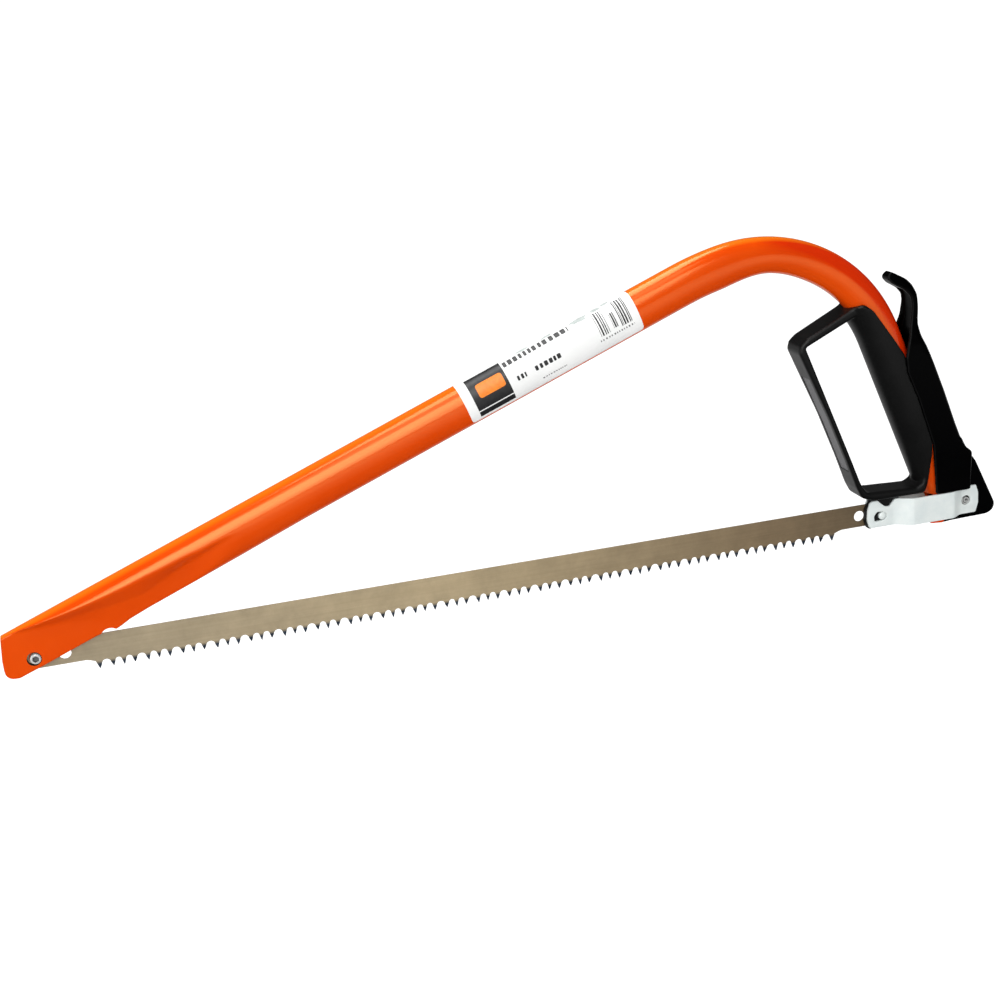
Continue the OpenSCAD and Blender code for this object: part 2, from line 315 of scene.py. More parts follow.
def drop_strays(ob, least=12):
    """Remove slivers and faces that hang on no closed part, as cuts can leave them."""
    bm = bmesh.new()
    bm.from_mesh(ob.data)
    bmesh.ops.remove_doubles(bm, verts=bm.verts, dist=STRAY_DIST * MM)
    bmesh.ops.dissolve_degenerate(bm, edges=bm.edges, dist=STRAY_DIST * MM)
    seen = set()
    for start in list(bm.faces):
        if start in seen:
            continue
        island, queue = {start}, [start]
        while queue:
            for e in queue.pop().edges:
                for f in e.link_faces:
                    if f not in island:
                        island.add(f)
                        queue.append(f)
        seen |= island
        if len(island) < least:
            bmesh.ops.delete(bm, geom=list(island), context="FACES")
    bmesh.ops.holes_fill(bm, edges=[e for e in bm.edges if e.is_boundary], sides=8)
    bm.to_mesh(ob.data)
    bm.free()


def finish_piece(ob, body, mat, replaced=(), angle=32):
    """Clean and shade a piece, move it to the shared frame, tie it to its body and hide the CAD nodes it
    replaces.
    """
    drop_strays(ob)
    shade(ob, angle)
    ob.data.transform(Matrix.Translation(TOE))
    ob.data.materials.clear()
    ob.data.materials.append(mat)
    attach(ob, body)
    if replaced:
        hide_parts(*replaced)


def shift_y(ob, rule):
    """Move every point of ob across the bow by rule(x, z)."""
    for v in ob.data.vertices:
        v.co.y += rule(v.co.x / MM, v.co.z / MM) * MM


def prism(name, points, half, bevel=0.0):
    return sheet(name, [points], half, bevel)


def pin(name, centre, radius, y0, y1, steps=40, dome=0.0):
    """Round pin along y with a small rounded rim at both ends."""
    rim = min(0.3, radius * 0.2)
    prof = [(0.0, y0 - dome), (radius * 0.5, y0 - dome * 0.75), (radius - rim, y0),
            (radius, y0 + rim), (radius, y1 - rim), (radius - rim, y1),
            (radius * 0.5, y1 + dome * 0.75), (0.0, y1 + dome)]
    return lathe(name, centre, prof, steps)


def lathe(name, centre, profile, steps=40):
    """Turned piece about a y axis: profile is (radius, y), first and last on the axis."""
    verts = [(centre[0], profile[0][1], centre[1])]
    for r, y in profile[1:-1]:
        for k in range(steps):
            a = 2 * math.pi * k / steps
            verts.append((centre[0] + r * math.cos(a), y, centre[1] + r * math.sin(a)))
    verts.append((centre[0], profile[-1][1], centre[1]))
    last = len(verts) - 1
    rows = len(profile) - 2
    faces = []
    for k in range(steps):
        n = (k + 1) % steps
        faces.append((0, 1 + n, 1 + k))
        for i in range(rows - 1):
            b, c = 1 + i * steps, 1 + (i + 1) * steps
            faces.append((b + k, b + n, c + n, c + k))
        b = 1 + (rows - 1) * steps
        faces.append((b + k, b + n, last))
    ob = mesh_object(name, verts, faces)
    fix_normals(ob)
    return ob


# ---- materials ----
def new_material(name):
    m = bpy.data.materials.new(name)
    m.use_nodes = True
    nt = m.node_tree
    return m, nt, nt.nodes["Principled BSDF"]


def noise(nt, scale, detail=3.0, rough=0.5, stretch=(1, 1, 1)):
    """Noise value in the saw's own space; stretch below 1 draws it out along that axis."""
    tc = nt.nodes.new("ShaderNodeTexCoord")
    mp = nt.nodes.new("ShaderNodeMapping")
    mp.inputs["Scale"].default_value = stretch
    nt.links.new(tc.outputs["Object"], mp.inputs["Vector"])
    n = nt.nodes.new("ShaderNodeTexNoise")
    n.inputs["Scale"].default_value = scale
    n.inputs["Detail"].default_value = detail
    n.inputs["Roughness"].default_value = rough
    nt.links.new(mp.outputs["Vector"], n.inputs["Vector"])
    return n.outputs["Fac"]


def ramp(nt, fac, stops):
    r = nt.nodes.new("ShaderNodeValToRGB")
    el = r.color_ramp.elements
    while len(el) < len(stops):
        el.new(0.5)
    for e, (pos, col) in zip(el, stops):
        e.position = pos
        e.color = (*col, 1)
    nt.links.new(fac, r.inputs["Fac"])
    return r.outputs["Color"]


def span(nt, fac, lo, hi):
    """A 0 to 1 value brought to the range from lo to hi."""
    m = nt.nodes.new("ShaderNodeMapRange")
    m.inputs["To Min"].default_value = lo
    m.inputs["To Max"].default_value = hi
    nt.links.new(fac, m.inputs["Value"])
    return m.outputs["Result"]


def mix(nt, fac, a, b, how="MIX"):
    m = nt.nodes.new("ShaderNodeMix")
    m.data_type = "RGBA"
    m.blend_type = how
    for sock, val in ((m.inputs[0], fac), (m.inputs[6], a), (m.inputs[7], b)):
        if isinstance(val, (int, float)):
            sock.default_value = val
        elif isinstance(val, tuple):
            sock.default_value = (*val, 1)
        else:
            nt.links.new(val, sock)
    return m.outputs[2]


def bump(nt, bsdf, height, strength, depth, round_edge=0.0):
    b = nt.nodes.new("ShaderNodeBump")
    b.inputs["Strength"].default_value = strength
    b.inputs["Distance"].default_value = depth * MM
    nt.links.new(height, b.inputs["Height"])
    if round_edge:
        e = nt.nodes.new("ShaderNodeBevel")
        e.samples = 4
        e.inputs["Radius"].default_value = round_edge * MM
        nt.links.new(e.outputs["Normal"], b.inputs["Normal"])
    nt.links.new(b.outputs["Normal"], bsdf.inputs["Normal"])


def edge_mask(nt, lo, hi):
    """0 to 1 where edges stick out, between two values of pointiness."""
    g = nt.nodes.new("ShaderNodeNewGeometry")
    m = nt.nodes.new("ShaderNodeMapRange")
    m.inputs["From Min"].default_value = lo
    m.inputs["From Max"].default_value = hi
    nt.links.new(g.outputs["Pointiness"], m.inputs["Value"])
    return m.outputs["Result"]


def fade(nt, sock, lo, hi, start, end):
    """Value that goes from start to end while sock goes from lo to hi."""
    m = nt.nodes.new("ShaderNodeMapRange")
    for key, value in (("From Min", lo), ("From Max", hi), ("To Min", start), ("To Max", end)):
        m.inputs[key].default_value = value
    nt.links.new(sock, m.inputs["Value"])
    return m.outputs["Result"]


def mat_orange():
    """Gloss coat with painted light: painted shade, a deeper red, where it looks up and to the heel, and a
    painted highlight, paler, where it looks straight up.
    """
    m, nt, b = new_material("orange_coat")
    tone = ramp(nt, noise(nt, 14, 4), [(0.35, (0.71, 0.055, 0.0004)), (0.65, (0.76, 0.066, 0.0005))])
    geo = nt.nodes.new("ShaderNodeNewGeometry")
    split = nt.nodes.new("ShaderNodeSeparateXYZ")
    nt.links.new(geo.outputs["Normal"], split.inputs[0])
    # painted shade: faces looking up and to the heel are coloured a deeper red in place of a dark
    # reflection
    painted_shade = compute(nt, "MULTIPLY", fade(nt, split.outputs["X"], -0.02, 0.1, 0.0, 1.0),
                   fade(nt, split.outputs["Z"], 0.0, 0.1, 0.0, 1.0))
    tone = mix(nt, painted_shade, tone, (0.64, 0.024, 0.0003))
    # painted highlight: faces looking straight up are coloured paler and yellower in place of the top
    # lamp's reflection
    tone = mix(nt, fade(nt, split.outputs["Z"], 0.7, 0.98, 0.0, 1.0), tone, (0.9, 0.19, 0.004))
    nt.links.new(tone, b.inputs["Base Color"])
    nt.links.new(span(nt, noise(nt, 60, 4), 0.13, 0.2), b.inputs["Roughness"])
    b.inputs["Specular IOR Level"].default_value = 1.0
    b.inputs["Specular Tint"].default_value = (0.9, 0.78, 0.3, 1)
    bump(nt, b, noise(nt, 420, 2), 0.12, 0.12, 0.35)
    return m


def mat_black(name, base, rough, grain, shine, worn):
    """Grained black plastic, rubbed to the grey tone worn on its edges."""
    m, nt, b = new_material(name)
    tone = ramp(nt, noise(nt, 30, 5), [(0.3, base), (0.7, tuple(c * 1.5 for c in base))])
    rubbed = mix(nt, edge_mask(nt, 0.52, 0.62), tone, (worn, worn, worn))
    nt.links.new(rubbed, b.inputs["Base Color"])
    nt.links.new(span(nt, noise(nt, 120, 4), rough - 0.06, rough + 0.08), b.inputs["Roughness"])
    b.inputs["Specular IOR Level"].default_value = shine
    bump(nt, b, noise(nt, grain, 3), 0.22, 0.1)
    return m


def mat_zinc():
    m, nt, b = new_material("zinc_plate")
    cloud = ramp(nt, noise(nt, 90, 6, 0.65), [(0.3, (0.71, 0.78, 0.775)), (0.7, (0.82, 0.87, 0.85))])
    nt.links.new(cloud, b.inputs["Base Color"])
    b.inputs["Metallic"].default_value = 0.08
    nt.links.new(span(nt, noise(nt, 160, 5), 0.34, 0.5), b.inputs["Roughness"])
    bump(nt, b, noise(nt, 900, 3, 0.6, (0.25, 1, 1)), 0.18, 0.05, 0.25)
    return m


def mat_steel(name, base, rough, metallic, scale=600):
    m, nt, b = new_material(name)
    tone = ramp(nt, noise(nt, 200, 4), [(0.3, base), (0.7, tuple(min(1, c * 1.25) for c in base))])
    nt.links.new(tone, b.inputs["Base Color"])
    b.inputs["Metallic"].default_value = metallic
    nt.links.new(span(nt, noise(nt, scale, 4), rough - 0.08, rough + 0.1), b.inputs["Roughness"])
    bump(nt, b, noise(nt, scale * 2, 3), 0.2, 0.04, 0.15)
    return m


def along(nt, axis, lo, hi):
    """0 to 1 along one axis of the saw, between two places in millimetres from the toe pivot."""
    start = (TOE.x if axis == "X" else TOE.z) / MM
    tc = nt.nodes.new("ShaderNodeTexCoord")
    sp = nt.nodes.new("ShaderNodeSeparateXYZ")
    nt.links.new(tc.outputs["Object"], sp.inputs[0])
    m = nt.nodes.new("ShaderNodeMapRange")
    m.inputs["From Min"].default_value = (lo + start) * MM
    m.inputs["From Max"].default_value = (hi + start) * MM
    nt.links.new(sp.outputs[axis], m.inputs["Value"])
    return m.outputs["Result"]


def mat_blade():
    """Bronze tint that darkens to the heel, with rolling lines and blue hardened tooth tips."""
    m, nt, b = new_material("blade_steel")
    tint = ramp(nt, along(nt, "X", 0, SPAN), [(0.0, (0.50, 0.42, 0.29)), (0.45, (0.66, 0.53, 0.33)),
                                              (0.85, (0.33, 0.24, 0.14)), (1.0, (0.20, 0.145, 0.085))])
    line = noise(nt, 700, 5, 0.7, (0.012, 1, 1))
    tint = mix(nt, span(nt, line, 0.0, 0.55), tint, (0.5, 0.455, 0.365), "MULTIPLY")
    spot = ramp(nt, noise(nt, 50, 5, 0.7), [(0.35, (0.82, 0.82, 0.82)), (0.65, (1, 1, 1))])
    tint = mix(nt, 1.0, tint, spot, "MULTIPLY")
    hard = ramp(nt, along(nt, "Z", -8.6, -10.6), [(0.0, (0, 0, 0)), (1.0, (1, 1, 1))])
    tint = mix(nt, hard, tint, (0.02, 0.035, 0.06))
    nt.links.new(tint, b.inputs["Base Color"])
    b.inputs["Metallic"].default_value = 0.35
    nt.links.new(span(nt, line, 0.36, 0.56), b.inputs["Roughness"])
    bump(nt, b, line, 0.25, 0.04, 0.1)
    return m


def mat_film():
    m, nt, b = new_material("label_film")
    tone = ramp(nt, noise(nt, 40, 5), [(0.3, (0.86, 0.87, 0.86)), (0.7, (0.93, 0.93, 0.92))])
    nt.links.new(tone, b.inputs["Base Color"])
    nt.links.new(span(nt, noise(nt, 150, 3), 0.25, 0.4), b.inputs["Roughness"])
    bump(nt, b, noise(nt, 120, 2), 0.1, 0.1)
    return m


def mat_print(name, base, rough=0.35):
    m, nt, b = new_material(name)
    tone = ramp(nt, noise(nt, 500, 3), [(0.3, base), (0.7, tuple(c * 1.25 + 0.004 for c in base))])
    nt.links.new(tone, b.inputs["Base Color"])
    nt.links.new(span(nt, noise(nt, 200, 3), rough - 0.08, rough + 0.08), b.inputs["Roughness"])
    bump(nt, b, noise(nt, 300, 2), 0.1, 0.03)
    return m


# ---- bow path ----
def path_point(s):
    """Outer edge point and outward direction at arc length s from the toe end, in the bow plane."""
    if s < RUN_LEN:
        n = unit(math.pi / 2 + RUN_SLOPE)
        back = unit(RUN_SLOPE) * (RUN_LEN - s)
        return RUN_END + n * RUN_EDGE - back, n
    s -= RUN_LEN
    if s < EASE_LEN:
        n = unit(math.pi / 2 + RUN_SLOPE - s / EASE_R)
        return EASE_C + EASE_R * n, n
    s -= EASE_LEN
    if s < BEND_LEN:
        n = unit(math.pi / 2 + EASE_SLOPE - s / OUTER_R)
        return BEND_C + OUTER_R * n, n
    s -= BEND_LEN
    n = unit(LEG_TILT)
    return BEND_C + OUTER_R * n + unit(LEG_TILT - math.pi / 2) * s, n


def tube_height(x, z):
    """Size in the bow plane: full on the run, least at the crown, a little more down the leg."""
    if z < 150:
        return BENT_H if x > 450 else RUN_H
    return (RUN_H - (RUN_H - CROWN_H) * smooth((x - 412) / 46)
            + (BENT_H - CROWN_H) * smooth((x - 462) / 30))


def rounded(half, t, exponent):
    """One coordinate of a superellipse of the given half size; t is the cosine or the sine."""
    return half * math.copysign(abs(t) ** exponent, t)


def oval_ring(s, grow=0.0, steps=96):
    """Section of the tube at s as 3D points, grown all round; the toe is pressed flat."""
    p, n = path_point(s)
    h = tube_height(*p)
    c = p - n * h / 2
    ring = []
    for k in range(steps):
        a = 2 * math.pi * k / steps
        v = rounded(h / 2 + grow, math.sin(a), 2 / TUBE_POWER)
        y = rounded(TUBE_W / 2 + grow, math.cos(a), 2 / TUBE_POWER)
        q = c + n * v
        if s < PRESSED_TO and grow <= 0.5:
            q, y = press_flat(q, y, v / h, n)
        ring.append((q[0], y, q[1]))
    return ring


# Heights of the toe pressing's three lines at these x, and how far the lower edge is pushed up.
PRESS_X = (-16, 2, 7, 20, 32, 54, 63, 81, 96, 110, 130)
FLAT_TOP = (18, 18.6, 18.9, 19.5, 18.4, 15.5, 14.7, 13.1, 11.5, 8, 4)
SHOULDER = (18.3, 20, 20.4, 21.8, 23.4, 26.5, 28.4, 38.4, 46, 54, 62)
RIDGE = (19.5, 25.2, 26.2, 28.2, 30.6, 37, 40.4, 45.6, 51, 58, 67)
DROP_X = (-20, 5, 20, 36, 44, 48, 54, 66, 90, 120, 160)
DROP = (0.9, 1.3, 1.2, 1.2, 3.6, 3.2, 2.0, 1.4, 1.2, 0.8, 0)


def press_flat(q, y, side, n):
    """Toe pressing: flat low down, easing out to a shoulder, then steeply out to a rounded ridge."""
    x = q[0]
    heights = [float(np.interp(x, PRESS_X, row)) for row in (FLAT_TOP, SHOULDER, RIDGE)]
    lim = float(np.interp(q[1], heights, (TOE_HALF, TOE_HALF + 1.3, TUBE_W / 2 + 0.2)))
    lim += max(0, x - 90) * 0.2
    soft = 0.5  # the two limits blend over about this many millimetres
    ay = abs(y)
    ay = -soft * math.log(math.exp(-ay / soft) + math.exp(-lim / soft)) + soft * math.exp(-ay / soft) * 0.3
    drop = float(np.interp(x, DROP_X, DROP)) * smooth(-side * 2 - 0.2)
    return q - n * drop, math.copysign(max(ay, 0), y)


def bow_loft(name, s0, s1, grow, step):
    count = max(2, int((s1 - s0) / step))
    return loft(name, [oval_ring(s0 + (s1 - s0) * k / count, grow) for k in range(count + 1)])


def make_tube(mat, hollow_shade):
    ob = bow_loft("frame_tube_skin", 0, TUBE_LEN, 0.0, 3.0)
    trim = fillet([(-70, 60), (-16.3, 60), (-16.6, 16), (-17.8, 2), (-17.6, -9.6), (-4.6, -9.9),
                   (3, -40), (-70, -40)], [0, 0, 4, 3, 7, 3, 0, 0])
    boolean(ob, prism("toe_trim", trim, CUT_HALF))
    foot = [(500, -10.2), (573, -10.2), (578.3, -3.4), (578.3, 15), (584.3, 21), (700, 21),
            (700, -90), (500, -90)]
    boolean(ob, prism("foot_trim", foot, CUT_HALF))
    boolean(ob, bow_loft("leg_bore", LEG_FROM, TUBE_LEN + 10, -TUBE_WALL, 8.0))
    lip = fillet([(563, -8.2), (563.6, -9.6), (572, -10.3), (576, -6), (573, -4)], 0.6)
    boolean(ob, prism("foot_lip", lip, 9.0, 0.4), "UNION")
    boolean(ob, prism("fork", [(555, 9.5), (600, 9.5), (600, -30), (555, -30)], 6.2))
    slot = [(-60, -30), (44, -30), (44, 11.4), (-60, 11.4)]
    boolean(ob, prism("slot", slot, 0.6))
    boolean(ob, prism("slot_end", disc((42.3, 5.5), 5.8), CUT_PIN))
    boolean(ob, pin("screw_seat", SEAT_C, SEAT_R, -CUT_PIN, 0))
    boolean(ob, pin("screw_way", (0, 0), 2.6, -1, CUT_PIN))
    boolean(ob, pin("pin_way", FULCRUM, FULCRUM_R, -CUT_PIN, CUT_PIN))
    finish_piece(ob, "frame", mat, ("frame_tube",), 28)
    # painted shade on the wall of the screw seat
    paint_hollow_shade(ob, SEAT_C, SEAT_TOUCH, -3.1, 0.0, hollow_shade)


def paint_hollow_shade(ob, centre, radius, y_out, y_in, hollow_shade):
    """Painted shade: a dark second material for the walls and floor of a round hollow along y."""
    ob.data.materials.append(hollow_shade)
    for p in ob.data.polygons:
        x, z = from_toe(p.center)
        y = p.center.y / MM
        if math.hypot(x - centre[0], z - centre[1]) < radius and y_out < y < y_in:
            p.material_index = 1


# ---- knuckle guard ----
def guard_outline():
    """Front bar and both arms as one open C, its ends buried in the grip."""
    outer = [(507.3, 140.4), (474.9, 124.4), (470.6, 120.6), (469.6, 115.8), (490, 72), (502.4, 42),
             (509.8, 22.6), (513.6, 15.4), (521, 12.5), (530, 12.2), (557.6, 12.2), (559.6, 15)]
    inner = [(558.6, 26), (556.4, 19), (552, 16.6), (517.6, 18.4), (513.2, 24), (506, 42),
             (494.2, 70.5), (474.2, 118.8), (512.5, 136.4)]
    return fillet(outer + inner, [0, 3, 3, 3, 60, 60, 30, 5, 8, 0, 1, 0,
                                  0, 2, 3, 4, 30, 60, 60, 1.0, 0])


def grip_zone():
    """Side view of the grip shell, up to the seam with the lever."""
    return fillet([(489, 131.4), (506, 139.9), (512.5, 141.6), (518.4, 137), (540.4, 107), (541.0, 103.7),
                   (542.0, 95.4), (547.5, 83.1), (550.0, 77.7), (561.5, 45.6), (560.6, 24), (560.6, 13),
                   (530, 12.6), (488, 118)], [0, 1, 4, 5, 2, 1, 1, 2, 4, 3, 6, 5, 0, 0])


GRIP_STEPS = 64
GRIP_EXPONENT = 0.95
GRIP_DEEP = 4.1  # shell outside the tube towards the fingers and the palm
GRIP_WALL = 2.9  # shell outside the tube at its sides


def grip_ring(s):
    """Section of the plastic shell round the handle leg."""
    p, n = path_point(s)
    c = p - n * BENT_H / 2
    ring = []
    for k in range(GRIP_STEPS):
        a = 2 * math.pi * k / GRIP_STEPS
        v = rounded(BENT_H / 2 + GRIP_DEEP, math.sin(a), GRIP_EXPONENT)
        y = rounded(TUBE_W / 2 + GRIP_WALL, math.cos(a), GRIP_EXPONENT)
        q = c + n * v
        ring.append((q[0], y, q[1]))
    return ring


def grip_loft(name):
    start, step = LEG_FROM - 46, 5
    return loft(name, [grip_ring(start + k * step) for k in range(int((TUBE_LEN - start) / step) + 1)])


def seam_lip():
    """Lip of the grip that reaches in under the lever's cheeks, so that no tube shows at the seam."""
    lip = grip_loft("grip_lip")
    zone = [(536, 109.5), (542.6, 104), (543.8, 96), (549.2, 83.8), (551.8, 78), (562.4, 48), (560, 45),
            (545, 72), (536, 96)]
    return boolean(lip, prism("lip_zone", zone, 10.0), "INTERSECT")


GUARD_HALF = 9.5
PANEL_HALF = 5.5


def make_guard(mat, panel_mat):
    shell = grip_loft("grip_shell")
    boolean(shell, prism("zone", grip_zone(), CUT_HALF), "INTERSECT")
    loop = sheet("guard_loop", [guard_outline()], GUARD_HALF, 1.6, 3)
    ob = join("knuckle_guard_skin", shell, loop)
    remesh(ob, 0.75, 6, 0.5)
    boolean(ob, seam_lip(), "UNION")
    panel = [(478.4, 98.0), (492.8, 66.2), (506.0, 33.8), (501, 32), (488, 64.4), (475, 96.2)]
    boolean(ob, prism("panel", panel, PANEL_HALF))
    band = [tuple(BEND_C + 82.5 * unit(math.radians(a))) for a in range(43, 80, 4)]
    band += [tuple(BEND_C + 112 * unit(math.radians(a))) for a in range(79, 42, -4)]
    boolean(ob, prism("tube_band", band, CUT_HALF))
    boolean(ob, bow_loft("tube_space", LEG_FROM - 60, TUBE_LEN + 20, 0.06, 4.0))
    finish_piece(ob, "frame", mat, ("knuckle_guard",), 40)
    ob.data.materials.append(panel_mat)
    front = panel_facing(panel)
    for p in ob.data.polygons:
        p.material_index = int(front(p))


def panel_facing(panel):
    """Test for the faces at the bottom of the shallow panel in the front bar."""
    (x0, z0), (x1, z1) = panel[0], panel[2]
    out = np.array((z0 - z1, x0 - x1)) / math.hypot(x1 - x0, z1 - z0)
    out = -np.abs(out)

    def test(p):
        x, z = from_toe(p.center)
        if not (z1 < z < z0 and abs(p.center.y) < PANEL_HALF * MM):
            return False
        facing = p.normal.x * out[0] + p.normal.z * out[1] > 0.9
        on_bar = abs(x - float(np.interp(z, (z1, z0), (x1, x0)))) < 1.2
        return facing and on_bar

    return test


# ---- tension lever ----
# Side view and half width of the lever as (z, value) rows, from the tip of the tab down.
LEVER_BACK = ((158.0, 534.6), (156.8, 537.4), (152.4, 545.8), (148.8, 549.4), (143, 551.6), (134.6, 552.2),
              (124, 551.6), (117.8, 553.2), (110.6, 557.0), (98.4, 562.4), (79.6, 570.2), (57, 578.8),
              (44, 584.2), (40, 586.4), (36.8, 590.4), (27.4, 597.4), (-2.7, 612.1), (-5.6, 612.4),
              (-8, 611.4), (-9.8, 609.4), (-10.8, 606.5), (-11.8, 590))
LEVER_FRONT = ((158.0, 534.6), (157, 532.8), (155, 531.8), (153.4, 532.2), (150.4, 535.2), (146, 542.8),
               (142, 546.6), (138, 547.3), (134, 547.2), (130, 546.8), (127, 546.3), (124, 545.5),
               (117.5, 544.1), (113, 542.6), (105, 541.2), (95.5, 542.3), (83.1, 547.7), (77.8, 550.2),
               (45.2, 561.8), (10.9, 565.3))
LEVER_WIDE = ((158.0, 3.4), (154, 4.4), (148, 6.0), (142, 6.8), (134, 7.5), (128, 8.0), (124, 9.0),
              (117.5, 11.0), (113, 12.1), (105, 12.8), (40, 12.8), (20, 12.2), (10.9, 12.2))
LEVER_HOLLOW = ((147, 545), (145, 546.6), (141, 548.6), (134, 549.2), (121.6, 548.8), (115.2, 550.0),
                (108, 553.8), (96, 559.4), (77.4, 567.2), (55, 575.6), (42, 580.4), (37.6, 583),
                (34, 587), (28, 588), (20, 586), (12.0, 583))


def at_height(table, z):
    zs = [r[0] for r in reversed(table)]
    return float(np.interp(z, zs, [r[1] for r in reversed(table)]))


LEVER_TOP = 157.9
CHEEK_LOW = 10.9
CHANNEL_BACK = 591.0
SPINE_HALF = 5.8


def slice_ring(z, x0, x1, half, front, back):
    """Rounded slice of the lever at one height: its own radius at the front and back corners."""
    back = min(back, half * 0.9, (x1 - x0) * 0.45)
    front = min(front, half * 0.5, (x1 - x0) * 0.3)
    ring = []
    for cx, cy, r, a0 in ((x1 - back, half - back, back, 0), (x0 + front, half - front, front, 90),
                          (x0 + front, front - half, front, 180), (x1 - back, back - half, back, 270)):
        for k in range(7):
            a = math.radians(a0 + 15 * k)
            ring.append((cx + r * math.cos(a), cy + r * math.sin(a), z))
    return ring


def lever_channel():
    """Outside of the lever's cheeks, back and tab, as slices from the cheeks' foot to the tip."""
    rings, steps = [], 97
    for k in range(steps + 1):
        z = CHEEK_LOW + (LEVER_TOP - CHEEK_LOW) * k / steps
        x1 = min(at_height(LEVER_BACK, z), CHANNEL_BACK)
        back = 5.2 if z > 46 else 3.0
        rings.append(slice_ring(z, at_height(LEVER_FRONT, z), x1, at_height(LEVER_WIDE, z), 0.8, back))
    return loft("lever_channel", rings)


def lever_spine():
    """Narrow part that runs down between the link plates, bored for the two pins."""
    line = [(x, z) for z, x in LEVER_BACK if z < 60]
    front = [(572.4, -11.8), (569.6, -8.6), (568.8, -3.4), (569.4, 2), (570.8, 7), (571.4, 13.4),
             (583.4, 13.4), (586, 24), (577, 50)]
    edge = fillet([(577, 57)] + line[:-1] + [(579, -11.4)] + front, 1.6)
    return prism("lever_spine", edge, SPINE_HALF, 0.7)


def lever_cavity():
    """Space inside the channel, open to the front, from the foot up into the tab."""
    rings, steps, low, rise = [], 79, 10.5, 136.5
    for k in range(steps + 1):
        z = low + rise * k / steps
        half = min(10.4, at_height(LEVER_WIDE, z) - 2.0) - 0.6 * smooth((z - 140) / 7)
        x0 = 545 if z < 60 else 520
        rings.append(slice_ring(z, x0, at_height(LEVER_HOLLOW, z), half, 0.5, 1.6))
    return loft("lever_cavity", rings)


GROOVE_R = 12.3
GROOVE_Y = 6.85


def make_lever(mat):
    ob = lever_channel()
    boolean(ob, lever_cavity())
    ob = join("tension_lever_skin", ob, lever_spine())
    remesh(ob, 0.6, 4, 0.5)
    boolean(ob, pin("fulcrum_way", FULCRUM, FULCRUM_R + PIN_GAP, -CUT_PIN, CUT_PIN))
    boolean(ob, pin("crank_way", CRANK, CRANK_R + PIN_GAP, -CUT_PIN, CUT_PIN))
    for side in (-1, 1):
        groove = prism("groove", disc(CRANK, GROOVE_R), 1.0)
        shift_y(groove, lambda x, z: side * GROOVE_Y)
        boolean(ob, groove)
    finish_piece(ob, "lever", mat, ("tension_lever",), 40)


# ---- links ----
def plate_loops(near):
    """Edge and holes of a link plate; the far one ends short, clear of the spare hole."""
    end = 0.0 if near else 3.4
    edge = fillet([(521 + end, 9.6), (519.5 + end, 5), (519.3 + end, -2), (521 + end, -7.3),
                   (597, -7.3), (598.8, -1), (598.6, 6), (596.8, 11.4), (584, 11.2), (576, 10.6),
                   (541, 10.7), (538.6, 10.2), (535, 5.8), (531.6, 6.2), (527.6, 9.6),
                   (526.4, 10.8), (522.6 + end, 10.8)],
                  [1.5, 4, 4, 2.2, 1.2, 6, 6, 0.8, 4, 4, 2, 1.5, 1.6, 3, 2, 1.2, 1.6])
    heel = disc((SPAN, 0), HEEL_PIN_R)
    if near:
        heel = fillet([(524.4, -3.3), (523.9, 0.4), (526, 3.4), (530, 2.9), (532.7, 1.4), (532.7, -2),
                       (530.4, -3)], [1.3, 2, 2, 1.6, 1.6, 1.6, 1.6])
    return [edge, heel, disc(CRANK, CRANK_R)]


def plate_step(x):
    """How far the plate stands off the blade: close at the heel, wide past the tube, close again."""
    y = 4.75 + 6.5 * smooth((x - 536.8) / 13.4)
    return y - 4.5 * smooth((x - 577.4) / 9.4)


def bend_lines():
    """Places where the plate is divided, so that it can take up its two joggles."""
    return [536.5 + 0.9 * k for k in range(17)] + [577 + 0.7 * k for k in range(15)]


PLATE_T = 1.5


def make_plate(side, mat):
    name = "link_plate_far" if side > 0 else "link_plate_near"
    ob = sheet(name + "_skin", plate_loops(side < 0), PLATE_T / 2, 0.16, 2)
    bm = bmesh.new()
    bm.from_mesh(ob.data)
    for x in bend_lines():
        geom = bm.verts[:] + bm.edges[:] + bm.faces[:]
        bmesh.ops.bisect_plane(bm, geom=geom, plane_co=(x * MM, 0, 0), plane_no=(1, 0, 0))
    bm.to_mesh(ob.data)
    bm.free()
    shift_y(ob, lambda x, z: side * plate_step(x))
    finish_piece(ob, "links", mat, (name,), 40)


def make_spacer(mat):
    near = prism("spacer_near", fillet([(523.2, 11.8), (520.4, 8), (518.9, 5), (518.7, -3), (520.6, -8),
                                        (541, -8), (543.6, -5), (543.6, 8), (538, 11.2)],
                                       [1, 2, 2, 3, 2, 1, 1, 2, 2]), 1.7, 0.3)
    shift_y(near, lambda x, z: -2.3)
    far = prism("spacer_far", fillet([(524, 11.6), (523.4, -8), (541, -8), (543.6, -5), (543.6, 8),
                                      (538, 11.2)], 1.2), 1.7, 0.3)
    shift_y(far, lambda x, z: 2.3)
    back = prism("spacer_back", fillet([(541, -7.6), (545, -5.6), (545, 8.6), (540.6, 10), (539.6, 9),
                                        (541.2, 4), (541.2, -4), (539.6, -7.6)], 0.8), 3.1, 0.3)
    ob = join("heel_spacer_skin", near, far, back)
    finish_piece(ob, "links", mat, ("heel_spacer",))


def make_blade_pin(mat):
    ob = pin("blade_pin_skin", (SPAN, 0), HEEL_PIN_R, -5.6, 5.7, 40, 0.5)
    finish_piece(ob, "links", mat, ("blade_pin",))


